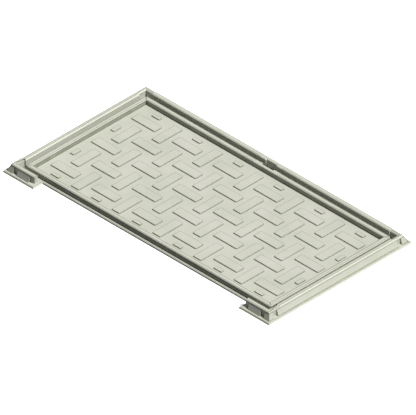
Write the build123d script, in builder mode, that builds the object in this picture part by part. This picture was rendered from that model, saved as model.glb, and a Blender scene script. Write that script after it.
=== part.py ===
"""Rectangular recessed manhole cover with its surface frame.

The frame stands on a flat bedding flange, with walls on the back and on both ends.
The front side is open, apart from two short corner stubs and a flat sill, where the
next unit of a row would join. The cover is a shallow tray with a raised tread pattern
that drops into the frame and rests on rubber strips.

Millimetres. +X runs along the length, +Y to the back wall, +Z up. The origin is the
middle of the bedding face. An inset is a distance inwards from the flange's edge.
"""
from build123d import *
from math import atan, degrees
import os

os.makedirs("parts", exist_ok=True)

# ---------------------------------------------------------------- frame
frame_length = 1300.0       # flange, end to end
frame_width = 700.0         # flange, back to front
frame_height = 34.0         # bedding face to wall top
flange_t = 5.0

wall_inset = 20.0           # wall's upright outer face
back_wall_t = 20.5
end_wall_t = 21.5
thin_wall_t = 17.0          # at the corners and the stubs
wall_edge_r = 5.5           # rounding of the wall's top edges

haunch_inset = 11.0         # foot of the sloping haunch
post_length = 38.0          # haunch post at each corner
slot_width = 20.0           # open slot between the post and the next haunch
slot_depth = 2.5            # slot's floor, behind the wall's outer face
stub_end_slot = 19.5        # haunch stops this far short of the stub's end

stub_length = 135.0         # front wall stub, from the end of the flange
pad_length = 150.0          # flange under each stub
sill_inset = 46.0           # front edge of the sill between the pads
sill_corner_r = 12.0

pocket_end = 72.5           # key pockets in the corners, from the flange's edge
joint_margin = 2.5          # corner castings run this far past the opening's corner

# ---------------------------------------------------------------- cover
cover_gap_end = 11.5        # cover to wall, at both ends
cover_gap_back = 11.0
cover_gap_front = 22.0      # cover to the stubs' inner face
rim_w = 19.0
rim_height = 19.7
rim_edge_r = 5.0
corner_cut = 7.0            # cut across each corner of the cover
recess_depth = 19.0         # rim top to tray floor
plate_t = 3.0
rim_fit = 0.1               # tray plate to the rim bars, all round

key_length = 50.0           # key slot in the middle of the back wall
key_wall_depth = 5.0
key_notch_depth = 6.0       # matching notch in the cover's rim
key_notch_extra = 2.5       # notch is longer than the wall's slot, each end

# ---------------------------------------------------------------- tread
tread_length = 114.5
tread_width = 38.5
tread_height = 4.0
tread_corner_r = 4.0
tread_chamfer = 0.8
tread_pitch_x = 99.25
tread_pitch_y = 98.4
tread_columns = 11
tread_rows = 5
tread_border = 22.5         # plain margin between the tread field and the rim

# ---------------------------------------------------------------- stiffeners, seat, fasteners
stiffener_count = 7
stiffener_w = 30.0
stiffener_t = 2.5
stiffener_end_gap = 8.0     # short of the plate's edge

bearing = 17.0              # flange under the rim, from the rim's outer face
seat_w = 10.0
seat_depth = 2.0
seat_lip = 3.0              # flange left inside the seat groove
seat_gap = 0.3              # seat strip stands proud, so the rim clears the flange
seat_fit = 0.2              # strip to groove, each side

dowel_r = 4.0
dowel_length = 50.0
dowel_fit = 0.05
dowel_end_gap = 0.5
dowel_chamfer = 1.0
dowel_z = 17.0

screws_per_stub = 3
screw_stub_margin = 20.0    # last screw to the stub's end
screw_r = 3.0
screw_head_r = 5.9
screw_recess = 0.2
screw_top_z = 20.0
screw_thread_fit = 0.05
screw_hole_r = 3.3
screw_sink_r = 6.2
screw_end_gap = 1.0
hex_across_flats = 4.0
hex_depth = 2.0

# ---------------------------------------------------------------- derived places
half_l = frame_length / 2
half_w = frame_width / 2
wall_height = frame_height - flange_t
thin_inset = wall_inset + thin_wall_t           # inner face of thin walls
back_inset = wall_inset + back_wall_t
end_inset = wall_inset + end_wall_t

haunch_height = wall_height - wall_edge_r
haunch_angle = degrees(atan((wall_inset - haunch_inset) / haunch_height))

cover_end_inset = end_inset + cover_gap_end
cover_back_inset = back_inset + cover_gap_back
cover_front_inset = thin_inset + cover_gap_front
cover_length = frame_length - 2 * cover_end_inset
cover_width = frame_width - cover_back_inset - cover_front_inset
cover_y = (cover_front_inset - cover_back_inset) / 2
cover_base = flange_t + seat_gap
rim_top = cover_base + rim_height
tray_floor = rim_top - recess_depth
plate_length = cover_length - 2 * (rim_w + rim_fit)
plate_width = cover_width - 2 * (rim_w + rim_fit)

# The joints between the frame's castings clear the opening whatever the walls measure.
back_joint_inset = max(cover_end_inset, cover_back_inset) + bearing + joint_margin
front_joint_inset = cover_front_inset + bearing
wall_middle_inset = wall_inset + thin_wall_t / 2

same_place = 0.01           # two lines closer than this are one


def inset_centre_y(back, front):
    """Middle, in Y, of a rectangle with these insets."""
    return (front - back) / 2


def inset_rectangle(ends, back, front, mode=Mode.ADD):
    """Rectangle that lies the given distances inside the flange's edge."""
    with Locations((0, inset_centre_y(back, front))):
        Rectangle(frame_length - 2 * ends, frame_width - back - front, mode=mode)


def inset_span(low, high):
    """Middle and length of a stretch between two insets from one edge."""
    return (low + high) / 2, high - low


# ---------------------------------------------------------------- frame body
# The whole frame is shaped first, so that slopes and roundings run through the joints.
with BuildPart() as frame_wall:
    with BuildSketch(Plane.XY.offset(flange_t)):
        inset_rectangle(wall_inset, wall_inset, wall_inset)
        inset_rectangle(end_inset, back_inset, thin_inset, mode=Mode.SUBTRACT)
        pocket_middle, pocket_size = inset_span(thin_inset, pocket_end)
        for side in (-1, 1):
            for end in (-1, 1):
                with Locations((side * (half_l - pocket_middle), end * (half_w - pocket_middle))):
                    Rectangle(pocket_size, pocket_size, mode=Mode.SUBTRACT)
        with Locations((0, half_w - back_inset)):
            Rectangle(key_length, 2 * key_wall_depth, mode=Mode.SUBTRACT)
        with Locations((0, -half_w + thin_inset / 2)):
            Rectangle(frame_length - 2 * stub_length, thin_inset, mode=Mode.SUBTRACT)
    extrude(amount=wall_height)
    top_edges = frame_wall.faces().sort_by(Axis.Z)[-1].edges()
    stub_end_x = half_l - stub_length
    stub_end_edges = top_edges.filter_by(lambda e: abs(abs(e.center().X) - stub_end_x) < same_place)
    fillet(top_edges - stub_end_edges, wall_edge_r)

# Joint pins lie in the walls, screws come up through the sill from the bedding face.
wall_axis_x = half_l - wall_middle_inset
wall_axis_y = half_w - wall_middle_inset
back_pin_places = [(side * (half_l - back_joint_inset), wall_axis_y, dowel_z) for side in (-1, 1)]
end_pin_places = [
    (side * wall_axis_x, joint_y, dowel_z)
    for side in (-1, 1)
    for joint_y in (half_w - back_joint_inset, -half_w + front_joint_inset)
]
screw_pitch = (stub_length - screw_stub_margin - wall_middle_inset) / (screws_per_stub - 1)
screw_insets = [wall_middle_inset + number * screw_pitch for number in range(screws_per_stub)]
screw_places = [(side * (half_l - inset), -wall_axis_y) for side in (-1, 1) for inset in screw_insets]
from_below = Plane(origin=(0, 0, 0), x_dir=(1, 0, 0), z_dir=(0, 0, -1))

with BuildPart() as frame_body:
    # Bedding flange, open in the middle and set back between the front pads.
    with BuildSketch() as flange_plan:
        Rectangle(frame_length, frame_width)
        inset_rectangle(
            cover_end_inset + bearing,
            cover_back_inset + bearing,
            cover_front_inset + bearing,
            mode=Mode.SUBTRACT,
        )
        with Locations((0, -half_w + sill_inset / 2)):
            Rectangle(frame_length - 2 * pad_length, sill_inset, mode=Mode.SUBTRACT)
        sill_line = -half_w + sill_inset
        inner_corners = flange_plan.vertices().filter_by(lambda v: abs(v.Y - sill_line) < same_place)
        fillet(inner_corners, sill_corner_r)
    extrude(amount=flange_t)

    # Sloping haunch outside the walls.
    with BuildSketch(Plane.XY.offset(flange_t)):
        inset_rectangle(haunch_inset, haunch_inset, haunch_inset)
    extrude(amount=haunch_height, taper=haunch_angle)
    with BuildSketch(Plane.XY.offset(flange_t)):
        inset_rectangle(wall_inset, wall_inset, wall_inset)
    extrude(amount=haunch_height, mode=Mode.SUBTRACT)
    add(frame_wall.part)

    # Slots near each corner and at the stubs' ends, through the haunch into the wall.
    with BuildSketch(Plane.XY.offset(flange_t)):
        slot_reach = wall_inset + slot_depth
        slot_middle, slot_size = inset_span(post_length, post_length + slot_width)
        for side in (-1, 1):
            for end in (-1, 1):
                with Locations((side * (half_l - slot_middle), end * (half_w - slot_reach / 2))):
                    Rectangle(slot_size, slot_reach)
                with Locations((side * (half_l - slot_reach / 2), end * (half_w - slot_middle))):
                    Rectangle(slot_reach, slot_size)
        front_gap = frame_length - 2 * (stub_length - stub_end_slot)
        with Locations((0, -half_w + slot_reach / 2)):
            Rectangle(front_gap, slot_reach)
    extrude(amount=haunch_height, mode=Mode.SUBTRACT)

    # Groove for the seat strips, round the opening under the rim.
    with BuildSketch(Plane.XY.offset(flange_t)):
        groove_in = bearing - seat_lip
        groove_out = groove_in - seat_w
        inset_rectangle(
            cover_end_inset + groove_out,
            cover_back_inset + groove_out,
            cover_front_inset + groove_out,
        )
        inset_rectangle(
            cover_end_inset + groove_in,
            cover_back_inset + groove_in,
            cover_front_inset + groove_in,
            mode=Mode.SUBTRACT,
        )
    extrude(amount=-seat_depth, mode=Mode.SUBTRACT)

    # Bores for the joint pins.
    bore_length = dowel_length + 2 * dowel_end_gap
    with Locations(*[Location(place, (0, 90, 0)) for place in back_pin_places]):
        Cylinder(dowel_r + dowel_fit, bore_length, mode=Mode.SUBTRACT)
    with Locations(*[Location(place, (90, 0, 0)) for place in end_pin_places]):
        Cylinder(dowel_r + dowel_fit, bore_length, mode=Mode.SUBTRACT)

    # Countersunk screw holes, blind in the stubs.
    with Locations(from_below):
        with Locations(*[(x, -y) for x, y in screw_places]):
            CounterSinkHole(screw_hole_r, screw_sink_r, depth=flange_t)
            Hole(screw_r + screw_thread_fit, depth=screw_top_z + screw_end_gap)

rail_span = half_l - back_joint_inset
front_joint_y = -half_w + front_joint_inset
back_joint_y = half_w - back_joint_inset
beyond = 10.0               # cutting boxes run past the outside by this much

frame_pieces = {
    "back_rail": ((-rail_span, rail_span), (0, half_w + beyond), (-beyond, frame_height + beyond)),
    "left_rail": ((-half_l - beyond, 0), (front_joint_y, back_joint_y), (-beyond, frame_height + beyond)),
    "right_rail": ((0, half_l + beyond), (front_joint_y, back_joint_y), (-beyond, frame_height + beyond)),
    "back_left_corner": (
        (-half_l - beyond, -rail_span), (back_joint_y, half_w + beyond), (-beyond, frame_height + beyond)
    ),
    "back_right_corner": (
        (rail_span, half_l + beyond), (back_joint_y, half_w + beyond), (-beyond, frame_height + beyond)
    ),
    "front_left_stub": (
        (-half_l - beyond, 0), (-half_w - beyond, front_joint_y), (flange_t, frame_height + beyond)
    ),
    "front_right_stub": (
        (0, half_l + beyond), (-half_w - beyond, front_joint_y), (flange_t, frame_height + beyond)
    ),
    "front_sill_plate": (
        (-half_l - beyond, half_l + beyond), (-half_w - beyond, front_joint_y), (-beyond, flange_t)
    ),
}

for piece_name, spans in frame_pieces.items():
    with BuildPart() as frame_piece:
        add(frame_body.part)
        centre = [sum(span) / 2 for span in spans]
        size = [high - low for low, high in spans]
        with Locations(tuple(centre)):
            Box(*size, mode=Mode.INTERSECT)
    frame_piece.part.label = piece_name
    export_step(frame_piece.part, f"parts/{piece_name}.step")

# ---------------------------------------------------------------- frame fasteners
with BuildPart() as joint_dowels:
    with Locations(*[Location(place, (0, 90, 0)) for place in back_pin_places]):
        Cylinder(dowel_r, dowel_length)
    with Locations(*[Location(place, (90, 0, 0)) for place in end_pin_places]):
        Cylinder(dowel_r, dowel_length)
    chamfer(joint_dowels.edges().filter_by(GeomType.CIRCLE), dowel_chamfer)
joint_dowels.part.label = "joint_dowels"
export_step(joint_dowels.part, "parts/joint_dowels.step")

with BuildPart() as sill_screws:
    for x, y in screw_places:
        with BuildSketch(Plane(origin=(x, y, screw_recess))):
            Circle(screw_r)
        extrude(amount=screw_top_z - screw_recess)
        with BuildSketch(Plane(origin=(x, y, screw_recess))):
            Circle(screw_head_r)
        extrude(amount=screw_head_r - screw_r, taper=45)
        with BuildSketch(Plane(origin=(x, y, screw_recess))):
            RegularPolygon(hex_across_flats / 2, 6, major_radius=False)
        extrude(amount=hex_depth, mode=Mode.SUBTRACT)
sill_screws.part.label = "sill_screws"
export_step(sill_screws.part, "parts/sill_screws.step")

# ---------------------------------------------------------------- seat strips
# Back and front strips run the groove's full length, the end strips fit between them.
seat_middle = bearing - seat_lip - seat_w / 2
strip_w = seat_w - 2 * seat_fit
strip_height = seat_depth + seat_gap
long_strip = frame_length - 2 * (cover_end_inset + bearing - seat_lip - seat_w) - 2 * seat_fit
back_strip_y = half_w - cover_back_inset - seat_middle
front_strip_y = -half_w + cover_front_inset + seat_middle
end_strip_length = back_strip_y - front_strip_y - strip_w - 2 * seat_fit
end_strip_x = half_l - cover_end_inset - seat_middle
strips = {
    "back_seat_strip": ((0, back_strip_y), (long_strip, strip_w)),
    "front_seat_strip": ((0, front_strip_y), (long_strip, strip_w)),
    "left_seat_strip": ((-end_strip_x, (back_strip_y + front_strip_y) / 2), (strip_w, end_strip_length)),
    "right_seat_strip": ((end_strip_x, (back_strip_y + front_strip_y) / 2), (strip_w, end_strip_length)),
}
for strip_name, (place, size) in strips.items():
    with BuildPart() as seat_strip:
        with BuildSketch(Plane.XY.offset(flange_t - seat_depth)):
            with Locations(place):
                Rectangle(*size)
        extrude(amount=strip_height)
    seat_strip.part.label = strip_name
    export_step(seat_strip.part, f"parts/{strip_name}.step")

# ---------------------------------------------------------------- cover rim
with BuildPart() as rim_ring:
    with BuildSketch(Plane.XY.offset(cover_base)) as rim_plan:
        with Locations((0, cover_y)):
            Rectangle(cover_length, cover_width)
        chamfer(rim_plan.vertices(), corner_cut)
        with Locations((0, cover_y + cover_width / 2)):
            Rectangle(key_length + 2 * key_notch_extra, 2 * key_notch_depth, mode=Mode.SUBTRACT)
        with Locations((0, cover_y)):
            Rectangle(cover_length - 2 * rim_w, cover_width - 2 * rim_w, mode=Mode.SUBTRACT)
    extrude(amount=rim_height)
    fillet(rim_ring.faces().sort_by(Axis.Z)[-1].edges(), rim_edge_r)

half_cover_w = cover_width / 2
half_cover_l = cover_length / 2
ridge_x = half_cover_l - half_cover_w       # where the 45 degree mitre lines meet
rim_plans = {
    "back_rim_bar": [(-half_cover_l, 1), (half_cover_l, 1), (ridge_x, 0), (-ridge_x, 0)],
    "front_rim_bar": [(-half_cover_l, -1), (half_cover_l, -1), (ridge_x, 0), (-ridge_x, 0)],
    "left_rim_bar": [(-half_cover_l, 1), (-half_cover_l, -1), (-ridge_x, 0)],
    "right_rim_bar": [(half_cover_l, 1), (half_cover_l, -1), (ridge_x, 0)],
}
for bar_name, corners in rim_plans.items():
    with BuildPart() as rim_bar:
        add(rim_ring.part)
        with BuildSketch(Plane.XY.offset(cover_base)):
            with BuildLine():
                Polyline(*[(x, cover_y + side * half_cover_w) for x, side in corners], close=True)
            make_face()
        extrude(amount=rim_height, mode=Mode.INTERSECT)
    rim_bar.part.label = bar_name
    export_step(rim_bar.part, f"parts/{bar_name}.step")

# ---------------------------------------------------------------- tray plate with its tread
field_length = plate_length - 2 * tread_border
field_width = plate_width - 2 * tread_border
with BuildPart() as tread_plate:
    with BuildSketch(Plane.XY.offset(tray_floor - plate_t)):
        with Locations((0, cover_y)):
            Rectangle(plate_length, plate_width)
    extrude(amount=plate_t)
    with BuildSketch(Plane.XY.offset(tray_floor)):
        # One more row and column than the field holds, each way, cut off at its edge.
        for column in range(-1, tread_columns + 1):
            for row in range(-1, tread_rows + 1):
                tread_x = (column - (tread_columns - 1) / 2) * tread_pitch_x
                tread_y = cover_y + (row - (tread_rows - 1) / 2) * tread_pitch_y
                turn = 0 if (column + row) % 2 == 0 else 90
                with Locations(Location((tread_x, tread_y, 0), (0, 0, turn))):
                    RectangleRounded(tread_length, tread_width, tread_corner_r)
        with Locations((0, cover_y)):
            Rectangle(field_length, field_width, mode=Mode.INTERSECT)
    extrude(amount=tread_height)
    tread_tops = tread_plate.faces().filter_by(Plane.XY).group_by(Axis.Z)[-1]
    chamfer(tread_tops.edges(), tread_chamfer)
tread_plate.part.label = "tread_plate"
export_step(tread_plate.part, "parts/tread_plate.step")

# ---------------------------------------------------------------- stiffeners under the plate
stiffener_pitch = plate_length / stiffener_count
for number in range(stiffener_count):
    with BuildPart() as stiffener:
        with BuildSketch(Plane.XY.offset(tray_floor - plate_t)):
            with Locations(((number - (stiffener_count - 1) / 2) * stiffener_pitch, cover_y)):
                Rectangle(stiffener_w, plate_width - 2 * stiffener_end_gap)
        extrude(amount=-stiffener_t)
    stiffener.part.label = f"cross_stiffener_{number + 1}"
    export_step(stiffener.part, f"parts/cross_stiffener_{number + 1}.step")
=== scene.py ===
"""A recessed manhole cover in its surface frame, dressed for Blender.

The frame is a set of castings on a bedding flange. The cover is a shallow tray of four
rim bars and a plate with a raised basket-weave tread. Everything is in metres, in the
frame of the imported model: +X along the length, +Y to the back wall, +Z up.
"""

import logging
import math
from dataclasses import dataclass, field
from enum import Enum
from typing import Callable, Sequence

import bmesh
import bpy
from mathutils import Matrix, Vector


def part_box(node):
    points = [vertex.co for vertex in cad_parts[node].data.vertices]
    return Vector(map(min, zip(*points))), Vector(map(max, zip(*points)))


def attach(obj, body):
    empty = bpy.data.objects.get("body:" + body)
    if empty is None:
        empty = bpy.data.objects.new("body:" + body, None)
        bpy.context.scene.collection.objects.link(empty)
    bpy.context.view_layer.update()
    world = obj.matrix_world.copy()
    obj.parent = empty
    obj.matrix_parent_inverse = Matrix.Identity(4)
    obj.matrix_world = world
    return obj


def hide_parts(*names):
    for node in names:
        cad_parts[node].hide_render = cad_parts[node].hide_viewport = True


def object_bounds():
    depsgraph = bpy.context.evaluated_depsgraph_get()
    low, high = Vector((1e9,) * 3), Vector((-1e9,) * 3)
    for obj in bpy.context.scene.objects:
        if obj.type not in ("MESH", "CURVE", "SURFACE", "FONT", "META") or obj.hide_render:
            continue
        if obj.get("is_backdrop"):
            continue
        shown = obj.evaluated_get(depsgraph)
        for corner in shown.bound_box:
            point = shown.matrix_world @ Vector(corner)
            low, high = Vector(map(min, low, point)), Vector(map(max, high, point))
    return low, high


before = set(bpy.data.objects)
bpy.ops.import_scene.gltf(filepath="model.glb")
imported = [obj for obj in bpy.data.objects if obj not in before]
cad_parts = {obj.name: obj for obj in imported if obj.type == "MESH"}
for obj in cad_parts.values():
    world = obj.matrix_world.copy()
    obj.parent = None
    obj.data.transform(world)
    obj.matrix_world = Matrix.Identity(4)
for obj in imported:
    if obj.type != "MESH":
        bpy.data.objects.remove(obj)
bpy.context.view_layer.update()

log = logging.getLogger("manhole_cover")

MM = 0.001
NEAR = 0.05 * MM            # two places closer than this are one
OUTLINE = "outline"         # face attribute of the bands along the edges
BAND_FACTOR = 3.0           # a flat at least this many bands wide gets one
SECTION_CORNERS = 7         # an upright face with more corners is a cut section
NORMAL_STEPS = 50           # how finely two planes' directions are told apart
PLANE_GAP = 0.3 * MM        # how finely their places are
COPLANAR = 0.5              # degrees: faces that turn less than this are joined
CAST_FOLD = 17.0            # degrees: a cast face that turns more than this shows a fold
SHARP = 27.0                # degrees: an edge that turns more than this is broken
UPRIGHT, TILTED, LEVEL = 0.1, 0.5, 0.9      # bounds of a face normal's Z
SHADING_WEIGHT = 50         # flat faces lead the shading fully
CREVICE_SAMPLES = 8

Span = tuple[float, float]
Colour = tuple[float, float, float]
Joint = tuple[int, float]   # an axis, and a place along it
Plane = tuple[int, ...]
Socket = bpy.types.NodeSocket
FaceTest = Callable[[Vector, Vector], bool]
EdgeTest = Callable[[bmesh.types.BMEdge], bool]
PlaceTest = Callable[[Vector], bool]


class Slot(Enum):
    """Material slots of the record."""

    COVER = "cover_coating"
    FRAME = "frame_coating"
    SEAT = "seat_rubber"
    STEEL = "fastener_steel"


class Body(Enum):
    """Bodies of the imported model."""

    FRAME = "frame"
    COVER = "cover"


# ---------------------------------------------------------------- finishes
class NodeBoard:
    """The node tree of one material, with short ways to add to it."""

    UNDER, OVER, MIXED = 6, 7, 2    # a mix node's colour sockets

    def __init__(self, name: str) -> None:
        """Makes an empty material with its output and shader.

        Args:
            name: The material's name.
        """
        self.material = bpy.data.materials.new(name)
        self.material.use_nodes = True
        self.tree = self.material.node_tree
        self.shader = self.tree.nodes["Principled BSDF"]
        place = self.add("ShaderNodeTexCoord")
        self.place = place.outputs["Object"]
        self.facing = place.outputs["Normal"]

    def add(self, kind: str, **settings: object) -> bpy.types.Node:
        """Adds a node and sets its own properties.

        Args:
            kind: Blender's name for the node type.
            settings: Properties of the node, by name.

        Returns:
            The new node.
        """
        node = self.tree.nodes.new(kind)
        for key, value in settings.items():
            setattr(node, key, value)
        return node

    def join(self, source: Socket, target: Socket) -> None:
        """Links one socket to another."""
        self.tree.links.new(source, target)

    def feed(self, name: str, source: Socket) -> None:
        """Links a value to the shader's socket of a name."""
        self.join(source, self.shader.inputs[name])

    def noise(self, scale: float, detail: float, roughness: float = 0.5) -> Socket:
        """Adds noise that follows the piece.

        Args:
            scale: Cells to the metre.
            detail: Octaves of finer noise on top.
            roughness: How strong the finer octaves are.

        Returns:
            The noise's value, about 0 to 1.
        """
        node = self.add("ShaderNodeTexNoise")
        node.inputs["Scale"].default_value = scale
        node.inputs["Detail"].default_value = detail
        node.inputs["Roughness"].default_value = roughness
        self.join(self.place, node.inputs["Vector"])
        return node.outputs["Fac"]

    def spread(self, value: Socket, low: float, high: float, to: Span = (0.0, 1.0)) -> Socket:
        """Stretches a value's range.

        Args:
            value: The value to stretch.
            low: What becomes the first of the new ends.
            high: What becomes the second.
            to: The new ends.

        Returns:
            The stretched value, kept between the new ends.
        """
        node = self.add("ShaderNodeMapRange", clamp=True)
        node.inputs["From Min"].default_value = low
        node.inputs["From Max"].default_value = high
        node.inputs["To Min"].default_value = to[0]
        node.inputs["To Max"].default_value = to[1]
        self.join(value, node.inputs["Value"])
        return node.outputs["Result"]

    def times(self, first: Socket, second: Socket) -> Socket:
        """Multiplies two values."""
        node = self.add("ShaderNodeMath", operation="MULTIPLY")
        self.join(first, node.inputs[0])
        self.join(second, node.inputs[1])
        return node.outputs["Value"]

    def tint(self, amount: Socket, under: Socket | Colour, over: Colour) -> Socket:
        """Lays one colour over another.

        Args:
            amount: How much of the upper colour shows, 0 to 1.
            under: The lower colour, or a socket that gives it.
            over: The upper colour.

        Returns:
            The mixed colour.
        """
        node = self.add("ShaderNodeMix", data_type="RGBA")
        self.join(amount, node.inputs["Factor"])
        if isinstance(under, Socket):
            self.join(under, node.inputs[self.UNDER])
        else:
            node.inputs[self.UNDER].default_value = (*under, 1.0)
        node.inputs[self.OVER].default_value = (*over, 1.0)
        return node.outputs[self.MIXED]

    def crevice(self, reach: float) -> Socket:
        """Finds hollows.

        Args:
            reach: How far to look, in metres.

        Returns:
            1 in the open and less in a hollow.
        """
        node = self.add("ShaderNodeAmbientOcclusion", samples=CREVICE_SAMPLES)
        node.inputs["Distance"].default_value = reach
        return node.outputs["AO"]

    def rise(self) -> Socket:
        """Finds how level a face is: 1 on the flat, up or down, and 0 on an upright face."""
        turn = self.add("ShaderNodeSeparateXYZ")
        self.join(self.facing, turn.inputs["Vector"])
        size = self.add("ShaderNodeMath", operation="ABSOLUTE")
        self.join(turn.outputs["Z"], size.inputs[0])
        return size.outputs["Value"]

    def bump(
        self, height: Socket, depth: float, strength: float, under: Socket | None = None
    ) -> Socket:
        """Adds relief.

        Args:
            height: The relief's height, 0 to 1.
            depth: What a height of 1 measures, in metres.
            strength: How much of it shows.
            under: Coarser relief that this one lies on.

        Returns:
            The bumped normal.
        """
        node = self.add("ShaderNodeBump")
        node.inputs["Strength"].default_value = strength
        node.inputs["Distance"].default_value = depth
        self.join(height, node.inputs["Height"])
        if under is not None:
            self.join(under, node.inputs["Normal"])
        return node.outputs["Normal"]


@dataclass(frozen=True)
class CoatFinish:
    """A pale matt coating on cast metal, with painted shade in its hollows and on its upright faces,
    and dirt along its edges.
    """

    name: str
    colour: Colour = (0.468, 0.476, 0.408)
    light: Colour = (0.492, 0.498, 0.434)
    dark: Colour = (0.444, 0.452, 0.380)
    # The next three fields set painted shade: the dark olive laid into hollows, how far to look for
    # them, and how strongly.
    crevice_shade: Colour = (0.13, 0.135, 0.075)
    edging: Colour = (0.105, 0.108, 0.05)
    # The next two fields set painted shade: the darker colour that upright faces are tinted toward,
    # and how strongly.
    side: Colour = (0.30, 0.305, 0.25)
    side_shade_amount: float = 0.4
    crevice_shade_reach: float = 4 * MM
    crevice_shade_amount: float = 0.5
    roughness: Span = (0.34, 0.46)
    grain_depth: float = 0.22 * MM
    wave_depth: float = 0.5 * MM

    def build(self) -> bpy.types.Material:
        """Makes the material.

        Returns:
            The finished material.
        """
        board = NodeBoard(self.name)
        patches = board.noise(scale=7.0, detail=4.0, roughness=0.6)
        speckle = board.noise(scale=420.0, detail=3.0, roughness=0.7)
        grain = board.noise(scale=900.0, detail=2.0, roughness=0.6)
        waves = board.noise(scale=38.0, detail=3.0)

        shade = board.tint(board.spread(patches, 0.38, 0.62), self.dark, self.light)
        shade = board.tint(board.spread(speckle, 0.44, 0.60, to=(0.0, 0.5)), shade, self.colour)

        # Painted shade: upright faces are tinted darker the further they turn from level.
        upright = board.spread(board.rise(), 1.0, 0.0, to=(0.0, self.side_shade_amount))
        upright = board.times(upright, board.spread(waves, 0.2, 0.6, to=(0.75, 1.0)))
        shade = board.tint(upright, shade, self.side)

        band = board.add("ShaderNodeAttribute", attribute_type="GEOMETRY", attribute_name=OUTLINE)
        edge = board.times(band.outputs["Fac"], board.spread(speckle, 0.30, 0.62, to=(0.75, 1.0)))
        edge = board.times(edge, board.spread(patches, 0.25, 0.75, to=(0.85, 1.0)))
        shade = board.tint(edge, shade, self.edging)

        # Painted shade: hollows that ambient occlusion finds are darkened toward the dark olive.
        hollow = board.crevice(self.crevice_shade_reach)
        hollow = board.spread(hollow, 0.80, 0.30, to=(0.0, self.crevice_shade_amount))
        hollow = board.times(hollow, board.spread(waves, 0.25, 0.62, to=(0.55, 1.0)))
        board.feed("Base Color", board.tint(hollow, shade, self.crevice_shade))

        board.feed("Roughness", board.spread(speckle, 0.35, 0.65, to=self.roughness))
        relief = board.bump(waves, self.wave_depth, strength=0.06)
        board.feed("Normal", board.bump(grain, self.grain_depth, strength=0.12, under=relief))
        board.shader.inputs["Specular IOR Level"].default_value = 0.5
        return board.material


@dataclass(frozen=True)
class RubberFinish:
    """Matt black rubber with a fine grain and a little dust."""

    name: str
    colour: Colour = (0.018, 0.018, 0.017)
    dust: Colour = (0.075, 0.073, 0.064)
    grain_depth: float = 0.15 * MM

    def build(self) -> bpy.types.Material:
        """Makes the material.

        Returns:
            The finished material.
        """
        board = NodeBoard(self.name)
        dusty = board.noise(scale=60.0, detail=5.0, roughness=0.7)
        dusty = board.spread(dusty, 0.45, 0.75, to=(0.0, 0.6))
        board.feed("Base Color", board.tint(dusty, self.colour, self.dust))
        board.feed("Roughness", board.spread(dusty, 0.0, 0.6, to=(0.62, 0.85)))
        grain = board.noise(scale=1400.0, detail=2.0)
        board.feed("Normal", board.bump(grain, self.grain_depth, strength=0.35))
        return board.material


@dataclass(frozen=True)
class SteelFinish:
    """Bright plated steel with fine tool marks and a few dull patches."""

    name: str
    colour: Colour = (0.56, 0.55, 0.52)
    dull: Colour = (0.30, 0.28, 0.24)
    mark_depth: float = 0.05 * MM

    def build(self) -> bpy.types.Material:
        """Makes the material.

        Returns:
            The finished material.
        """
        board = NodeBoard(self.name)
        patches = board.noise(scale=240.0, detail=4.0, roughness=0.65)
        patches = board.spread(patches, 0.46, 0.72, to=(0.0, 0.8))
        board.feed("Base Color", board.tint(patches, self.colour, self.dull))
        board.feed("Roughness", board.spread(patches, 0.0, 0.8, to=(0.26, 0.5)))
        board.shader.inputs["Metallic"].default_value = 1.0
        marks = board.noise(scale=2600.0, detail=1.0)
        board.feed("Normal", board.bump(marks, self.mark_depth, strength=0.2))
        return board.material


@dataclass(frozen=True)
class FloorFinish:
    """A plain pale studio floor."""

    name: str
    colour: Colour = (0.82, 0.82, 0.82)
    shade: Colour = (0.79, 0.79, 0.79)
    glow: float = 0.7

    def build(self) -> bpy.types.Material:
        """Makes the material.

        Returns:
            The finished material.
        """
        board = NodeBoard(self.name)
        mottle = board.noise(scale=3.0, detail=4.0)
        board.feed("Base Color", board.tint(mottle, self.colour, self.shade))
        board.shader.inputs["Roughness"].default_value = 0.9
        board.shader.inputs["Emission Color"].default_value = (*self.colour, 1.0)
        board.shader.inputs["Emission Strength"].default_value = self.glow
        return board.material


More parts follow.
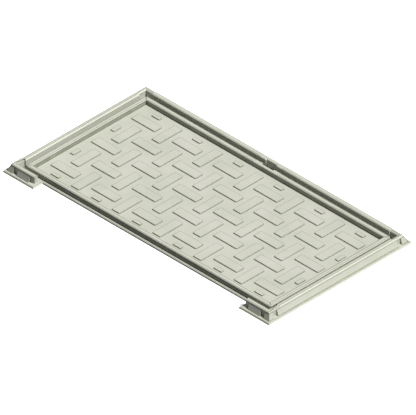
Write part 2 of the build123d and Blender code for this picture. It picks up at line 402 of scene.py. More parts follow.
# ---------------------------------------------------------------- shaping
class Workpiece:
    """One piece on the bench, worked in edit mode with Blender's own operators."""

    def __init__(self, obj: bpy.types.Object, name: str) -> None:
        """Takes an object to the bench and names it and its mesh."""
        self.obj = obj
        self.obj.name = name
        self.obj.data.name = name

    @classmethod
    def sheet(cls, name: str, span_x: Span, span_y: Span, height: float) -> "Workpiece":
        """Starts a piece as a flat rectangular sheet.

        Args:
            name: Name of the finished piece.
            span_x: Lowest and highest X.
            span_y: Lowest and highest Y.
            height: Z of the sheet.

        Returns:
            The sheet, in object mode.
        """
        bpy.ops.object.select_all(action="DESELECT")
        middle = ((span_x[0] + span_x[1]) / 2, (span_y[0] + span_y[1]) / 2, height)
        bpy.ops.mesh.primitive_plane_add(size=1.0, location=middle)
        bpy.ops.transform.resize(value=(span_x[1] - span_x[0], span_y[1] - span_y[0], 1.0))
        bpy.ops.object.transform_apply(location=True, rotation=True, scale=True)
        return cls(bpy.context.object, name)

    def twin(self, name: str) -> "Workpiece":
        """Copies the piece with its own mesh, in object mode."""
        self.choose()
        bpy.ops.object.duplicate()
        return Workpiece(bpy.context.object, name)

    def choose(self) -> None:
        """Selects this piece alone, in object mode."""
        bpy.ops.object.select_all(action="DESELECT")
        self.obj.select_set(True)
        bpy.context.view_layer.objects.active = self.obj

    def edit(self) -> None:
        """Selects this piece alone and opens it in edit mode."""
        self.choose()
        bpy.ops.object.mode_set(mode="EDIT")

    def close(self) -> None:
        """Goes back to object mode."""
        bpy.ops.object.mode_set(mode="OBJECT")

    def score(self, xs: Sequence[float] = (), ys: Sequence[float] = ()) -> None:
        """Divides the faces along straight lines of the plan.

        Args:
            xs: Lines across, by their X.
            ys: Lines along, by their Y.
        """
        for x in sorted(set(xs)):
            self.pick_all()
            bpy.ops.mesh.bisect(plane_co=(x, 0, 0), plane_no=(1, 0, 0))
        for y in sorted(set(ys)):
            self.pick_all()
            bpy.ops.mesh.bisect(plane_co=(0, y, 0), plane_no=(0, 1, 0))

    def trim(self, place: Sequence[float], outward: Sequence[float]) -> None:
        """Cuts off all that lies beyond a plane and closes the cut.

        Args:
            place: A point of the plane.
            outward: The direction that is cut away.
        """
        self.pick_all()
        bpy.ops.mesh.bisect(plane_co=place, plane_no=outward, use_fill=True, clear_outer=True)

    def pick_all(self) -> None:
        """Selects the whole mesh, in edit mode."""
        bpy.ops.mesh.select_all(action="SELECT")

    def pick(self, mode: str, kind: str, test: Callable[..., bool]) -> int:
        """Selects some of the mesh's faces, edges or vertices, and nothing else.

        Args:
            mode: Blender's select mode.
            kind: The mesh's own list for that mode.
            test: Says whether one of them is wanted.

        Returns:
            How many are selected.
        """
        bpy.ops.mesh.select_mode(type=mode)
        bpy.ops.mesh.select_all(action="DESELECT")
        shape = bmesh.from_edit_mesh(self.obj.data)
        shape.normal_update()
        found = [part for part in getattr(shape, kind) if test(part)]
        for part in found:
            part.select_set(True)
        bmesh.update_edit_mesh(self.obj.data)
        return len(found)

    def pick_faces(self, test: FaceTest) -> int:
        """Selects faces by their middle and normal, and counts them."""
        return self.pick("FACE", "faces", lambda face: test(face.calc_center_median(), face.normal))

    def pick_edges(self, test: EdgeTest) -> int:
        """Selects edges, and counts them."""
        return self.pick("EDGE", "edges", test)

    def pick_corners(self, test: PlaceTest) -> int:
        """Selects vertices by their place, and counts them."""
        return self.pick("VERT", "verts", lambda corner: test(corner.co))

    def raise_selected(self, height: float) -> None:
        """Extrudes the selected faces straight up, or down if the height is negative."""
        bpy.ops.mesh.extrude_region_move(TRANSFORM_OT_translate={"value": (0.0, 0.0, height)})

    def merge(self, reach: float = NEAR) -> None:
        """Merges vertices that lie closer than the reach."""
        bpy.ops.mesh.select_mode(type="VERT")
        self.pick_all()
        bpy.ops.mesh.remove_doubles(threshold=reach)

    def weld(self) -> None:
        """Merges doubled vertices and joins faces that lie in one plane."""
        self.merge()
        bpy.ops.mesh.dissolve_limited(angle_limit=math.radians(COPLANAR))
        self.pick_all()
        bpy.ops.mesh.normals_make_consistent(inside=False)

    def round_selected(
        self,
        radius: float,
        steps: int,
        corners: bool = False,
        fullness: float = 0.5,
        clamp: bool = True,
    ) -> None:
        """Rounds the selected edges.

        Args:
            radius: The rounding's radius.
            steps: Faces across it.
            corners: Cut the selected corners of a sheet, and leave the edges.
            fullness: 0.5 is a true arc, and 0.25 a flat bevel.
            clamp: Keep the rounding within the shortest edge that it meets.
        """
        bpy.ops.mesh.bevel(
            offset=radius,
            segments=steps,
            affect="VERTICES" if corners else "EDGES",
            clamp_overlap=clamp,
            profile=fullness,
        )

    def soften(self, width: float, steps: int = 2) -> None:
        """Breaks every sharp edge a little, in object mode.

        Args:
            width: Width of the broken edge.
            steps: Faces across it.
        """
        self.choose()
        broken = self.obj.modifiers.new("broken_edges", "BEVEL")
        broken.width = width
        broken.segments = steps
        broken.limit_method = "ANGLE"
        broken.angle_limit = math.radians(SHARP)
        broken.use_clamp_overlap = False
        bpy.ops.object.modifier_apply(modifier=broken.name)

    def wide_flats(self, width: float) -> list[Plane]:
        """Finds the planes with room for a band, without undersides and cut sections.

        Args:
            width: The band's width.

        Returns:
            The planes, in the order of their faces.
        """
        areas: dict[Plane, float] = {}
        spans: dict[Plane, float] = {}
        sections: set[Plane] = set()
        for face in bmesh.from_edit_mesh(self.obj.data).faces:
            plane = plane_of(face.calc_center_median(), face.normal)
            longest = max(edge.calc_length() for edge in face.edges)
            areas[plane] = areas.get(plane, 0.0) + face.calc_area()
            spans[plane] = max(spans.get(plane, 0.0), longest)
            if len(face.verts) > SECTION_CORNERS and abs(face.normal.z) < TILTED:
                sections.add(plane)
        return [
            plane for plane, area in areas.items()
            if area > BAND_FACTOR * width * spans[plane]
            and plane[2] > -TILTED * NORMAL_STEPS and plane not in sections
        ]

    def outline(
        self, width: float, joints: Sequence[Joint] = (), bare: float | None = None
    ) -> None:
        """Marks a narrow band along the edges of every flat, for dirt to gather in.

        The band is kept as faces whose OUTLINE attribute is 1. Works in object mode.

        Args:
            width: The band's width.
            joints: Ends that butt against another casting.
            bare: Half-length of a narrow middle part that gets no band.
        """
        self.choose()
        bpy.ops.geometry.attribute_add(name=OUTLINE, domain="FACE", data_type="FLOAT")
        bpy.ops.object.mode_set(mode="EDIT")
        half_bare = -1.0 if bare is None else bare
        if bare is not None:
            self.score((-bare, bare))
            joints = [*joints, (0, -bare), (0, bare)]
        for plane in self.wide_flats(width):
            self.pick_faces(
                lambda middle, normal: plane_of(middle, normal) == plane
                and abs(middle.x) > half_bare
            )
            before = len(bmesh.from_edit_mesh(self.obj.data).faces)
            bpy.ops.mesh.inset(thickness=width, depth=0.0, use_even_offset=True)
            shape = bmesh.from_edit_mesh(self.obj.data)
            if len(shape.faces) == before:
                continue
            layer = shape.faces.layers.float[OUTLINE]
            for face in shape.faces:
                middle = face.calc_center_median()
                left_out = abs(middle.x) < half_bare or any(
                    abs(middle[axis] - place) < width for axis, place in joints
                )
                if not (face.select or left_out) and plane_of(middle, face.normal) == plane:
                    face[layer] = 1.0
            bmesh.update_edit_mesh(self.obj.data)
        bpy.ops.object.mode_set(mode="OBJECT")

    def smooth(self, fold: float) -> None:
        """Smooths the shading over roundings and keeps real folds, in object mode.

        Args:
            fold: Degrees; an edge that turns more stays a fold.
        """
        self.choose()
        bpy.ops.object.shade_smooth_by_angle(angle=math.radians(fold))
        even = self.obj.modifiers.new("even_shading", "WEIGHTED_NORMAL")
        even.weight = SHADING_WEIGHT
        even.keep_sharp = True
        bpy.ops.object.modifier_apply(modifier=even.name)

    def cut_with(self, cutter: bpy.types.Object) -> None:
        """Cuts another object's shape out of this one, in object mode.

        Args:
            cutter: A closed mesh, which stays as it is.
        """
        self.choose()
        cut = self.obj.modifiers.new("cut", "BOOLEAN")
        cut.object = cutter
        cut.operation = "DIFFERENCE"
        cut.solver = "EXACT"
        bpy.ops.object.modifier_apply(modifier=cut.name)


def plane_of(middle: Vector, normal: Vector) -> Plane:
    """Names the plane that a face lies in.

    Args:
        middle: A point of the face.
        normal: The face's normal.

    Returns:
        Whole numbers that faces of one plane share.
    """
    offset = round(middle.dot(normal) / PLANE_GAP)
    return (*(round(part * NORMAL_STEPS) for part in normal), offset)


def joined(parts: Sequence[bpy.types.Object]) -> bpy.types.Object:
    """Joins objects into the first of them.

    Args:
        parts: Two or more mesh objects, in object mode.

    Returns:
        The joined object.
    """
    bpy.ops.object.select_all(action="DESELECT")
    for part in parts:
        part.select_set(True)
    bpy.context.view_layer.objects.active = parts[0]
    bpy.ops.object.join()
    return bpy.context.object


def is_top_edge(edge: bmesh.types.BMEdge, height: float) -> bool:
    """Says whether an edge lies between a level top at a height and an upright side.

    Args:
        edge: The edge.
        height: Z of the top.

    Returns:
        True for such an edge.
    """
    if len(edge.link_faces) != 2 or any(abs(end.co.z - height) > NEAR for end in edge.verts):
        return False
    rises = sorted(abs(face.normal.z) for face in edge.link_faces)
    return rises[0] < UPRIGHT and rises[1] > LEVEL


def is_top_face(middle: Vector, normal: Vector, height: float) -> bool:
    """Says whether a face is a level top at a height."""
    return abs(middle.z - height) < NEAR and normal.z > TILTED


def dress(
    piece: bpy.types.Object, material: bpy.types.Material, body: Body, slot: Slot, *nodes: str
) -> None:
    """Gives a finished piece its material and its body, and hides the CAD nodes that it stands for.

    Args:
        piece: The finished piece.
        material: What it is made of.
        body: The body that it rides on.
        slot: Not used.
        nodes: CAD nodes that it replaces.
    """
    piece.data.materials.clear()
    piece.data.materials.append(material)
    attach(piece, body.value)
    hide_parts(*nodes)
    log.info("%s: %d faces, rides on %s", piece.name, len(piece.data.polygons), body.value)


# ---------------------------------------------------------------- frame
@dataclass
class Insets:
    """Distances inwards from the flange's edge, for one rectangle of the plan."""

    ends: float
    back: float
    front: float

    def grown(self, amount: float) -> "Insets":
        """The same rectangle with every side moved inwards."""
        return Insets(self.ends + amount, self.back + amount, self.front + amount)


@dataclass(frozen=True)
class Casting:
    """One casting of the frame: a rectangle of the plan, and what stands on it."""

    name: str
    span_x: Span
    span_y: Span
    joints: tuple[Joint, ...] = ()      # its flat ends
    has_flange: bool = True             # it reaches down to the bedding face
    has_wall: bool = True               # it carries wall and haunch


@dataclass
class SurfaceFrame:
    """The castings round the cover: two rails, a back rail, corners, stubs and the sill."""

    # Its upright faces get a little painted shade.
    finish: CoatFinish = field(
        default_factory=lambda: CoatFinish("frame_stone_coat", side_shade_amount=0.35)
    )
    wall_inset: float = 20 * MM
    back_wall: float = 20.5 * MM
    end_wall: float = 21.5 * MM
    thin_wall: float = 17 * MM
    wall_round: float = 5.5 * MM
    wall_fullness: float = 0.40
    round_steps: int = 5
    flange_slope: float = 3.4 * MM
    haunch_inset: float = 11 * MM
    post_length: float = 38 * MM
    slot_width: float = 20 * MM
    slot_depth: float = 2.5 * MM
    stub_length: float = 135 * MM
    stub_end_slot: float = 19.5 * MM
    pad_length: float = 150 * MM
    sill_inset: float = 46 * MM
    sill_corner: float = 12 * MM
    sill_corner_steps: int = 8
    pocket_end: float = 72.5 * MM
    key_length: float = 50 * MM
    key_depth: float = 5 * MM
    bearing: float = 17 * MM
    groove: Span = (4 * MM, 14 * MM)
    groove_depth: float = 2 * MM
    broken_edge: float = 0.4 * MM
    line_width: float = 1.6 * MM
    screw_hole: float = 3.3 * MM
    screw_sink: float = 6.2 * MM
    sink_depth: float = 2.9 * MM
    hole_faces: int = 32
    hole_clear: float = 1 * MM

    def __post_init__(self) -> None:
        """Takes the outside sizes and the cover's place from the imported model."""
        low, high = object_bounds()
        self.half_x = high.x
        self.half_y = high.y
        self.flange_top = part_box("front_sill_plate")[1].z
        self.wall_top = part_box("back_rail")[1].z
        self.haunch_top = self.wall_top - self.wall_round
        self.inner = Insets(
            self.wall_inset + self.end_wall,
            self.wall_inset + self.back_wall,
            self.wall_inset + self.thin_wall,
        )
        cover = Insets(
            self.half_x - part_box("right_rim_bar")[1].x,
            self.half_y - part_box("back_rim_bar")[1].y,
            self.half_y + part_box("front_rim_bar")[0].y,
        )
        self.opening = cover.grown(self.bearing)
        self.groove_out = cover.grown(self.groove[0])
        self.groove_in = cover.grown(self.groove[1])
        self.thin_inset = self.wall_inset + self.thin_wall
        self.back_joint = self.half_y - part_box("back_left_corner")[0].y
        self.front_joint = self.half_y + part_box("left_rail")[0].y

    def depth_in(self, x: float, y: float) -> tuple[float, float, float]:
        """How far a point of the plan lies inside the flange's edges.

        Args:
            x: The point's X.
            y: Its Y.

        Returns:
            Distance from the nearer end, from the back edge and from the front edge.
        """
        return self.half_x - abs(x), self.half_y - y, self.half_y + y

    def inside(self, rectangle: Insets, x: float, y: float) -> bool:
        """Says whether a point lies inside a rectangle of the plan."""
        end, back, front = self.depth_in(x, y)
        return end > rectangle.ends and back > rectangle.back and front > rectangle.front

    def in_hole(self, x: float, y: float) -> bool:
        """Says whether there is no flange at a point: the opening, or the set-back front."""
        end, _, front = self.depth_in(x, y)
        return self.inside(self.opening, x, y) or (front < self.sill_inset and end > self.pad_length)

    def in_wall(self, x: float, y: float) -> bool:
        """Says whether the upright wall stands on a point."""
        end, back, front = self.depth_in(x, y)
        pocket = self.thin_inset < end < self.pocket_end
        pocket = pocket and self.thin_inset < min(back, front) < self.pocket_end
        key = abs(x) < self.key_length / 2
        key = key and self.inner.back - self.key_depth < back < self.half_y
        if pocket or key or self.inside(self.inner, x, y):
            return False
        open_front = end > self.stub_length and front < self.half_y
        beside = back < self.inner.back or end < self.inner.ends
        return min(end, back, front) > self.wall_inset and (beside or not open_front)

    def in_haunch(self, x: float, y: float) -> bool:
        """Says whether the sloping haunch outside the wall covers a point."""
        end, back, front = self.depth_in(x, y)
        nearest = min(end, back, front)
        if not self.haunch_inset < nearest < self.wall_inset:
            return False
        return not (front == nearest and end > self.stub_length)

    def lines(self) -> tuple[list[float], list[float]]:
        """All lines of the plan at which something changes.

        Returns:
            The X of the lines across and the Y of the lines along.
        """
        shared = [self.haunch_inset, self.wall_inset, self.thin_inset, self.pocket_end]
        rings = (self.inner, self.opening, self.groove_out, self.groove_in)
        ends = [*shared, *(ring.ends for ring in rings), self.stub_length, self.pad_length]
        backs = [*shared, *(ring.back for ring in rings), self.inner.back - self.key_depth]
        fronts = [*shared, *(ring.front for ring in rings), self.sill_inset]
        xs = [side * (self.half_x - inset) for side in (-1, 1) for inset in ends]
        xs += [-self.key_length / 2, self.key_length / 2]
        ys = [self.half_y - inset for inset in backs] + [inset - self.half_y for inset in fronts]
        return xs, ys

    def cast(self, casting: Casting) -> Workpiece:
        """Shapes one casting.

        Args:
            casting: Its rectangle and what stands on it.

        Returns:
            The casting, in edit mode, with its doubles merged.
        """
        floor = 0.0 if casting.has_flange else self.flange_top
        (low_x, high_x), (low_y, high_y) = casting.span_x, casting.span_y
        piece = Workpiece.sheet(f"{casting.name}_casting", casting.span_x, casting.span_y, floor)
        piece.edit()
        xs, ys = self.lines()
        piece.score(
            [x for x in xs if low_x + NEAR < x < high_x - NEAR],
            [y for y in ys if low_y + NEAR < y < high_y - NEAR],
        )

        def standing(middle: Vector, normal: Vector) -> bool:
            """Says whether wall or haunch stands on a face of the plan."""
            return self.in_wall(middle.x, middle.y) or self.in_haunch(middle.x, middle.y)

        def unwanted(middle: Vector, normal: Vector) -> bool:
            """Says whether a face of the plan isn't part of the casting."""
            if casting.has_flange:
                return self.in_hole(middle.x, middle.y)
            return not standing(middle, normal)

        if piece.pick_faces(unwanted):
            bpy.ops.mesh.delete(type="FACE")
        if casting.has_flange:
            piece.pick_all()
            piece.raise_selected(self.flange_top - floor)
        if casting.has_wall:
            self.raise_wall(piece, standing, whole=not casting.has_flange)
        if casting.has_flange:
            self.sink_groove(piece)
        piece.weld()
        return piece

    def raise_wall(self, piece: Workpiece, standing: FaceTest, whole: bool) -> None:
        """Raises the walls and slopes the haunch in to meet them.

        Args:
            piece: The casting, in edit mode.
            standing: Says which faces of the plan carry wall or haunch.
            whole: The piece is still a flat sheet, and all of it is raised.
        """
        if whole:
            piece.pick_all()
        else:
            piece.pick_faces(
                lambda middle, normal: is_top_face(middle, normal, self.flange_top)
                and standing(middle, normal)
            )
        piece.raise_selected(self.haunch_top - self.flange_top)
        step = self.wall_inset - self.haunch_inset
        for axis, half in ((0, self.half_x), (1, self.half_y)):
            foot = half - self.haunch_inset
            for side in (-1, 1):
                if piece.pick_corners(
                    lambda co: abs(co.z - self.haunch_top) < NEAR
                    and abs(co[axis] - side * foot) < NEAR
                ):
                    move = [0.0, 0.0, 0.0]
                    move[axis] = -side * step
                    bpy.ops.transform.translate(value=tuple(move))
        piece.merge()
        piece.pick_faces(
            lambda middle, normal: is_top_face(middle, normal, self.haunch_top)
            and self.in_wall(middle.x, middle.y)
        )
        piece.raise_selected(self.wall_round)

    def sink_groove(self, piece: Workpiece) -> None:
        """Sinks the seat strips' groove into the flange.

        Args:
            piece: The casting, in edit mode.
        """
        found = piece.pick_faces(
            lambda middle, normal: is_top_face(middle, normal, self.flange_top)
            and self.inside(self.groove_out, middle.x, middle.y)
            and not self.inside(self.groove_in, middle.x, middle.y)
        )
        if found:
            piece.raise_selected(-self.groove_depth)

    def round_wall(self, piece: Workpiece, joints: Sequence[Joint]) -> None:
        """Rounds the wall's top edges, except at the joints and the stubs' ends.

        Args:
            piece: The casting, in edit mode.
            joints: Its flat ends.
        """
        stub_x = self.half_x - self.stub_length
        flat_ends = [*joints, (0, stub_x), (0, -stub_x)]

        def wanted(edge: bmesh.types.BMEdge) -> bool:
            """Says whether an edge is on top and away from the flat ends."""
            for axis, place in flat_ends:
                if all(abs(end.co[axis] - place) < NEAR for end in edge.verts):
                    return False
            return is_top_edge(edge, self.wall_top)

        if piece.pick_edges(wanted):
            piece.round_selected(
                self.wall_round - NEAR, self.round_steps, fullness=self.wall_fullness
            )
        piece.merge(NEAR * 2)

    def round_sill(self, piece: Workpiece) -> None:
        """Rounds the inner corners where the sill meets the pads.

        Args:
            piece: The sill plate, in edit mode.
        """
        corner_x = self.half_x - self.pad_length
        corner_y = self.sill_inset - self.half_y
        piece.pick_edges(
            lambda edge: all(
                abs(abs(end.co.x) - corner_x) < NEAR and abs(end.co.y - corner_y) < NEAR
                for end in edge.verts
            )
        )
        piece.round_selected(self.sill_corner, self.sill_corner_steps)

    def slope_flange(self, piece: Workpiece) -> None:
        """Slopes off the flange's free upper edges, which lie outside the walls.

        Args:
            piece: The casting, in edit mode.
        """
        sill_y = self.sill_inset - self.half_y

        def free(edge: bmesh.types.BMEdge) -> bool:
            """Says whether an edge is a free upper edge of the flange."""
            if not is_top_edge(edge, self.flange_top):
                return False
            places = [end.co for end in edge.verts]
            outside = all(abs(abs(co.x) - self.half_x) < NEAR for co in places)
            behind = all(abs(co.y - self.half_y) < NEAR for co in places)
            return outside or behind or all(co.y < sill_y + NEAR for co in places)

        if piece.pick_edges(free):
            piece.round_selected(self.flange_slope, 1, clamp=False)

    def slot_cutter(self) -> bpy.types.Object:
        """Makes the blocks that cut the slots out of the haunch and the wall.

        Returns:
            All the blocks as one object.
        """
        reach = self.wall_inset + self.slot_depth
        beyond = self.haunch_inset
        depth = reach + beyond
        along = self.post_length + self.slot_width / 2
        out = (beyond - reach) / 2
        end_width = self.stub_end_slot + beyond
        end_x = self.half_x - self.stub_length + (self.stub_end_slot - beyond) / 2
        width = self.slot_width
        blocks: list[tuple[float, float, float, float]] = []
        for side in (-1, 1):
            blocks.append((side * end_x, -self.half_y - out, end_width, depth))
            for end in (-1, 1):
                blocks += [
                    (side * (self.half_x - along), end * (self.half_y + out), width, depth),
                    (side * (self.half_x + out), end * (self.half_y - along), depth, width),
                ]
        height = self.haunch_top - self.flange_top
        cutters: list[bpy.types.Object] = []
        for x, y, size_x, size_y in blocks:
            middle = (x, y, self.flange_top + height / 2)
            bpy.ops.mesh.primitive_cube_add(size=1.0, location=middle)
            bpy.ops.transform.resize(value=(size_x, size_y, height))
            bpy.ops.object.transform_apply(location=True, rotation=True, scale=True)
            cutters.append(bpy.context.object)
        return joined(cutters)

    def screw_cutter(self) -> bpy.types.Object:
        """Makes the countersinks and shafts that cut the screw holes.

        Returns:
            All of them as one object.
        """
        clear = self.hole_clear
        slope = (self.screw_sink - self.screw_hole) / self.sink_depth
        cutters: list[bpy.types.Object] = []
        for x, y in screw_places():
            bpy.ops.mesh.primitive_cone_add(
                vertices=self.hole_faces,
                radius1=self.screw_sink + slope * clear,
                radius2=self.screw_hole,
                depth=self.sink_depth + clear,
                location=(x, y, (self.sink_depth - clear) / 2),
            )
            bpy.ops.object.transform_apply(location=True, rotation=True, scale=True)
            hole = Workpiece(bpy.context.object, "screw_hole")
            hole.edit()
            hole.pick_faces(lambda middle, normal: normal.z > LEVEL)
            hole.raise_selected(self.flange_top)
            hole.close()
            cutters.append(hole.obj)
        return joined(cutters)

    def castings(self) -> list[Casting]:
        """Lists the frame's castings, as its joints divide it.

        Returns:
            The castings, in the order they are made.
        """
        rail_x = self.half_x - self.back_joint
        back_y = self.half_y - self.back_joint
        front_y = self.front_joint - self.half_y
        open_x = self.half_x - self.opening.ends
        open_back = self.half_y - self.opening.back
        stub_x = self.half_x - self.stub_length
        whole_x = (-self.half_x, self.half_x)
        behind, rail_y, before = (back_y, self.half_y), (front_y, back_y), (-self.half_y, front_y)
        found = [
            Casting("back_rail", (-rail_x, rail_x), (open_back, self.half_y),
                    ((0, -rail_x), (0, rail_x))),
            Casting("front_sill_plate", whole_x, before, has_wall=False),
        ]
        for side, word in ((-1, "left"), (1, "right")):
            edge = side * self.half_x
            rail, corner, stub = (
                tuple(sorted((side * inner, edge))) for inner in (open_x, rail_x, stub_x)
            )
            found += [
                Casting(f"{word}_rail", rail, rail_y, ((1, front_y), (1, back_y))),
                Casting(f"back_{word}_corner", corner, behind, ((0, side * rail_x), (1, back_y))),
                Casting(f"front_{word}_stub", stub, before, ((1, front_y),), has_flange=False),
            ]
        return found

    def build(self) -> None:
        """Casts every piece of the frame."""
        coat = self.finish.build()
        slots, holes = self.slot_cutter(), self.screw_cutter()
        for casting in self.castings():
            piece = self.cast(casting)
            if casting.has_wall:
                self.round_wall(piece, casting.joints)
            else:
                self.round_sill(piece)
            if casting.has_flange:
                self.slope_flange(piece)
            piece.close()
            if not casting.has_wall:
                piece.cut_with(holes)
            piece.soften(self.broken_edge)
            bare = self.key_length if casting.name == "back_rail" else None
            piece.outline(self.line_width, casting.joints, bare)
            if casting.name.endswith(("corner", "stub")):
                piece.cut_with(slots)
            piece.smooth(CAST_FOLD)
            dress(piece.obj, coat, Body.FRAME, Slot.FRAME, casting.name)
        for cutter in (slots, holes):
            bpy.data.objects.remove(cutter)


def screw_places() -> list[tuple[float, float]]:
    """Finds the sill screws' axes from their node.

    Returns:
        X and Y of each screw.
    """
    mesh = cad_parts["sill_screws"].data
    low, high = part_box("sill_screws")
    reach = (high.y - low.y) / 2
    groups: list[list[float]] = []
    for x in sorted(vertex.co.x for vertex in mesh.vertices):
        if groups and x - groups[-1][-1] < reach:
            groups[-1].append(x)
        else:
            groups.append([x])
    middle_y = (low.y + high.y) / 2
    return [((group[0] + group[-1]) / 2, middle_y) for group in groups]


# ---------------------------------------------------------------- cover
@dataclass
class TrayCover:
    """The cover: four rim bars, and a plate with its tread."""

    # Its upright faces get strong painted shade, toward a near-black olive.
    finish: CoatFinish = field(
        default_factory=lambda: CoatFinish(
            "cover_stone_coat", side=(0.15, 0.155, 0.115), side_shade_amount=0.85
        )
    )
    rim_width: float = 19 * MM
    rim_round: float = 5 * MM
    rim_fullness: float = 0.40
    round_steps: int = 5
    corner_cut: float = 7 * MM
    notch_length: float = 55 * MM
    notch_depth: float = 6 * MM
    broken_edge: float = 0.5 * MM
    rim_line: float = 1.6 * MM
    block_line: float = 0.9 * MM
    block_length: float = 114.5 * MM
    block_width: float = 38.5 * MM
    block_corner: float = 4 * MM
    block_corner_steps: int = 4
    block_edge: float = 0.8 * MM
    block_bed: float = 0.4 * MM
    pitch_x: float = 99.25 * MM
    pitch_y: float = 98.4 * MM
    columns: int = 11
    rows: int = 5
    border: float = 22.5 * MM
    plate_thickness: float = 3 * MM

    def __post_init__(self) -> None:
        """Takes the cover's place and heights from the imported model."""
        left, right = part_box("left_rim_bar"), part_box("right_rim_bar")
        back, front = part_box("back_rim_bar"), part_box("front_rim_bar")
        self.half_x = right[1].x
        self.low_y = front[0].y
        self.high_y = back[1].y
        self.middle_y = (self.low_y + self.high_y) / 2
        self.base = left[0].z
        self.rim_top = left[1].z
        plate_low, plate_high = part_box("tread_plate")
        self.plate_x = plate_high.x
        self.plate_y = (plate_low.y, plate_high.y)
        self.plate_base = plate_low.z
        self.block_top = plate_high.z
        self.tray_floor = plate_low.z + self.plate_thickness
        self.field_low = (self.border - self.plate_x, self.plate_y[0] + self.border)
        self.field_high = (self.plate_x - self.border, self.plate_y[1] - self.border)

    def rim_ring(self) -> Workpiece:
        """Shapes the whole rim in one, with its cut corners, key notch and roundings.

        Returns:
            The ring, in object mode.
        """
        span_x, span_y = (-self.half_x, self.half_x), (self.low_y, self.high_y)
        ring = Workpiece.sheet("rim_ring", span_x, span_y, self.base)
        ring.edit()
        inner_x = self.half_x - self.rim_width
        inner_low = self.low_y + self.rim_width
        inner_high = self.high_y - self.rim_width
        notch_x = self.notch_length / 2
        notch_y = self.high_y - self.notch_depth
        ring.score((-inner_x, inner_x, -notch_x, notch_x), (inner_low, inner_high, notch_y))
        ring.pick_faces(
            lambda middle, normal: (abs(middle.x) < inner_x and inner_low < middle.y < inner_high)
            or (abs(middle.x) < notch_x and middle.y > notch_y)
        )
        bpy.ops.mesh.delete(type="FACE")
        ring.pick_corners(
            lambda co: abs(abs(co.x) - self.half_x) < NEAR
            and min(abs(co.y - self.low_y), abs(co.y - self.high_y)) < NEAR
        )
        ring.round_selected(self.corner_cut, 1, corners=True)
        ring.pick_all()
        ring.raise_selected(self.rim_top - self.base)
        ring.weld()
        ring.pick_edges(lambda edge: is_top_edge(edge, self.rim_top))
        ring.round_selected(self.rim_round, self.round_steps, fullness=self.rim_fullness)
        ring.close()
        return ring

    def rim_bars(self, coat: bpy.types.Material) -> None:
        """Cuts the ring into its four mitred bars.

        Args:
            coat: The cover's coating.
        """
        ring = self.rim_ring()
        for name, axis, side in (
            ("back_rim_bar", 1, 1),
            ("front_rim_bar", 1, -1),
            ("left_rim_bar", 0, -1),
            ("right_rim_bar", 0, 1),
        ):
            bar = ring.twin(f"{name}_coated")
            bar.edit()
            inward = Vector((0.0, 0.0, 0.0))
            inward[axis] = -side
            bar.trim((0.0, self.middle_y, 0.0), inward)
            for end in (-1, 1):
                x_side, y_side = (end, side) if axis == 1 else (side, end)
                corner = (x_side * self.half_x, self.high_y if y_side > 0 else self.low_y, 0.0)
                away = Vector((x_side, -y_side, 0.0)) * (1 if axis == 1 else -1)
                bar.trim(corner, away.normalized())
            bar.weld()
            bar.close()
            bar.soften(self.broken_edge)
            bar.outline(self.rim_line, bare=self.notch_length if name == "back_rim_bar" else None)
            bar.smooth(CAST_FOLD)
            dress(bar.obj, coat, Body.COVER, Slot.COVER, name)
        bpy.data.objects.remove(ring.obj)

    def block(self, name: str, length: float, width: float) -> Workpiece:
        """Shapes one raised block of the tread at the plan's origin.

        Args:
            name: The block's name.
            length: Its size along X.
            width: Its size along Y.

        Returns:
            The block, in object mode.
        """
        foot = self.tray_floor - self.block_bed
        span_x, span_y = (-length / 2, length / 2), (-width / 2, width / 2)
        block = Workpiece.sheet(name, span_x, span_y, foot)
        block.edit()
        block.pick_corners(lambda co: True)
        block.round_selected(self.block_corner, self.block_corner_steps, corners=True)
        block.pick_all()
        block.raise_selected(self.block_top - foot)
        block.weld()
        block.pick_edges(lambda edge: is_top_edge(edge, self.block_top))
        block.round_selected(self.block_edge, 2)
        block.close()
        block.soften(self.broken_edge / 2)
        return block

    def lay_block(self, pattern: Workpiece, centre: Span, size: Span) -> Workpiece | None:
        """Sets one block of the weave and trims it at the border.

        Args:
            pattern: The block to copy.
            centre: X and Y of its place.
            size: Its size along X and Y.

        Returns:
            The block, in object mode, or nothing where it lies beyond the border.
        """
        low = [place - extent / 2 for place, extent in zip(centre, size)]
        high = [place + extent / 2 for place, extent in zip(centre, size)]
        if any(high[k] <= self.field_low[k] or low[k] >= self.field_high[k] for k in (0, 1)):
            return None
        block = pattern.twin("tread_block")
        bpy.ops.transform.translate(value=(*centre, 0.0))
        bpy.ops.object.transform_apply(location=True, rotation=True, scale=True)
        block.edit()
        for axis in (0, 1):
            for side, end, limit in (
                (1, high[axis], self.field_high[axis]),
                (-1, low[axis], self.field_low[axis]),
            ):
                if side * end > side * limit:
                    place, outward = [0.0, 0.0, 0.0], [0.0, 0.0, 0.0]
                    place[axis], outward[axis] = limit, side
                    block.trim(place, outward)
        block.weld()
        block.close()
        block.outline(self.block_line)
        return block

    def tread(self, coat: bpy.types.Material) -> None:
        """Builds the tray plate and sets the tread's blocks on it.

        Args:
            coat: The cover's coating.
        """
        span_x = (-self.plate_x, self.plate_x)
        plate = Workpiece.sheet("tread_plate_coated", span_x, self.plate_y, self.plate_base)
        plate.edit()
        plate.pick_all()
        plate.raise_selected(self.plate_thickness)
        plate.pick_all()
        bpy.ops.mesh.normals_make_consistent(inside=False)
        plate.close()

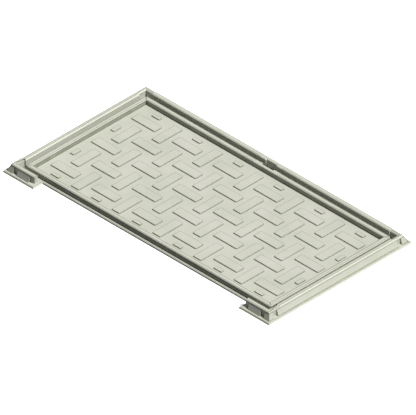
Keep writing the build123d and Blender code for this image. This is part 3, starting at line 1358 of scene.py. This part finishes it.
        along_size = (self.block_length, self.block_width)
        across_size = (self.block_width, self.block_length)
        along = self.block("block_along", *along_size)
        across = self.block("block_across", *across_size)
        laid: list[bpy.types.Object] = []
        for column in range(-1, self.columns + 1):
            for row in range(-1, self.rows + 1):
                x = (column - (self.columns - 1) / 2) * self.pitch_x
                y = self.middle_y + (row - (self.rows - 1) / 2) * self.pitch_y
                lies_along = (column + row) % 2 == 0
                pattern, size = (along, along_size) if lies_along else (across, across_size)
                block = self.lay_block(pattern, (x, y), size)
                if block is not None:
                    laid.append(block.obj)
        plate.outline(self.block_line)
        joined([plate.obj, *laid])
        for pattern in (along, across):
            bpy.data.objects.remove(pattern.obj)
        plate.smooth(SHARP)
        log.info("%d tread blocks", len(laid))
        dress(plate.obj, coat, Body.COVER, Slot.COVER, "tread_plate")

    def build(self) -> None:
        """Builds the cover's rim and plate."""
        coat = self.finish.build()
        self.rim_bars(coat)
        self.tread(coat)
        for name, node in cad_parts.items():
            if name.startswith("cross_stiffener"):
                paint(node, coat)


def paint(node: bpy.types.Object, material: bpy.types.Material) -> None:
    """Gives a CAD node a better material."""
    node.data.materials.clear()
    node.data.materials.append(material)


# ---------------------------------------------------------------- studio
@dataclass
class Studio:
    """Plain floor, one soft key light and an even fill, and the camera."""

    floor_size: float = 12.0
    floor_drop: float = 0.5 * MM
    key_from: Colour = (0.62, 0.14, 0.76)
    key_power: float = 5.05
    key_spread: float = 9.0
    fill: float = 0.22
    azimuth: float = 45.0
    elevation: float = 35.2644
    view_width: float = 1.4344
    view_shift: tuple[float, float] = (0.0019, -0.0008)
    distance: float = 3.0

    def build(self) -> None:
        """Sets up the floor, the lights and the camera."""
        scene = bpy.context.scene
        bpy.ops.object.select_all(action="DESELECT")
        bpy.ops.mesh.primitive_plane_add(
            size=self.floor_size, location=(0.0, 0.0, -self.floor_drop)
        )
        floor = bpy.context.object
        floor.name = "studio_floor"
        floor.data.materials.append(FloorFinish("studio_floor").build())
        floor.visible_diffuse = False
        floor.visible_glossy = False
        floor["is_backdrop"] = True

        world = bpy.data.worlds.new("studio_fill")
        world.use_nodes = True
        background = world.node_tree.nodes["Background"]
        background.inputs["Color"].default_value = (1.0, 1.0, 1.0, 1.0)
        background.inputs["Strength"].default_value = self.fill
        scene.world = world

        key_data = bpy.data.lights.new("key", "SUN")
        key_data.energy = self.key_power
        key_data.angle = math.radians(self.key_spread)
        key = bpy.data.objects.new("key", key_data)
        key.rotation_euler = Vector(self.key_from).to_track_quat("Z", "Y").to_euler()
        scene.collection.objects.link(key)

        camera_data = bpy.data.cameras.new("camera")
        camera_data.type = "ORTHO"
        camera_data.ortho_scale = self.view_width
        camera = bpy.data.objects.new("camera", camera_data)
        turn, lift = math.radians(self.azimuth), math.radians(self.elevation)
        flat = math.cos(lift)
        outward = Vector((math.sin(turn) * flat, -math.cos(turn) * flat, math.sin(lift)))
        facing = outward.to_track_quat("Z", "Y")
        camera.rotation_euler = facing.to_euler()
        right, up = facing @ Vector((1, 0, 0)), facing @ Vector((0, 1, 0))
        across, above = self.view_shift
        camera.location = outward * self.distance + right * across + up * above
        scene.collection.objects.link(camera)
        scene.camera = camera
        scene.view_settings.view_transform = "Standard"


def main() -> None:
    """Builds the object and the studio."""
    logging.basicConfig(level=logging.INFO, format="%(name)s: %(message)s")
    SurfaceFrame().build()
    TrayCover().build()
    rubber = RubberFinish("seat_rubber").build()
    steel = SteelFinish("fastener_steel").build()
    for name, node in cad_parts.items():
        if name.endswith("seat_strip"):
            paint(node, rubber)
        elif name in ("joint_dowels", "sill_screws"):
            paint(node, steel)
    Studio().build()


if __name__ == "__main__":
    main()
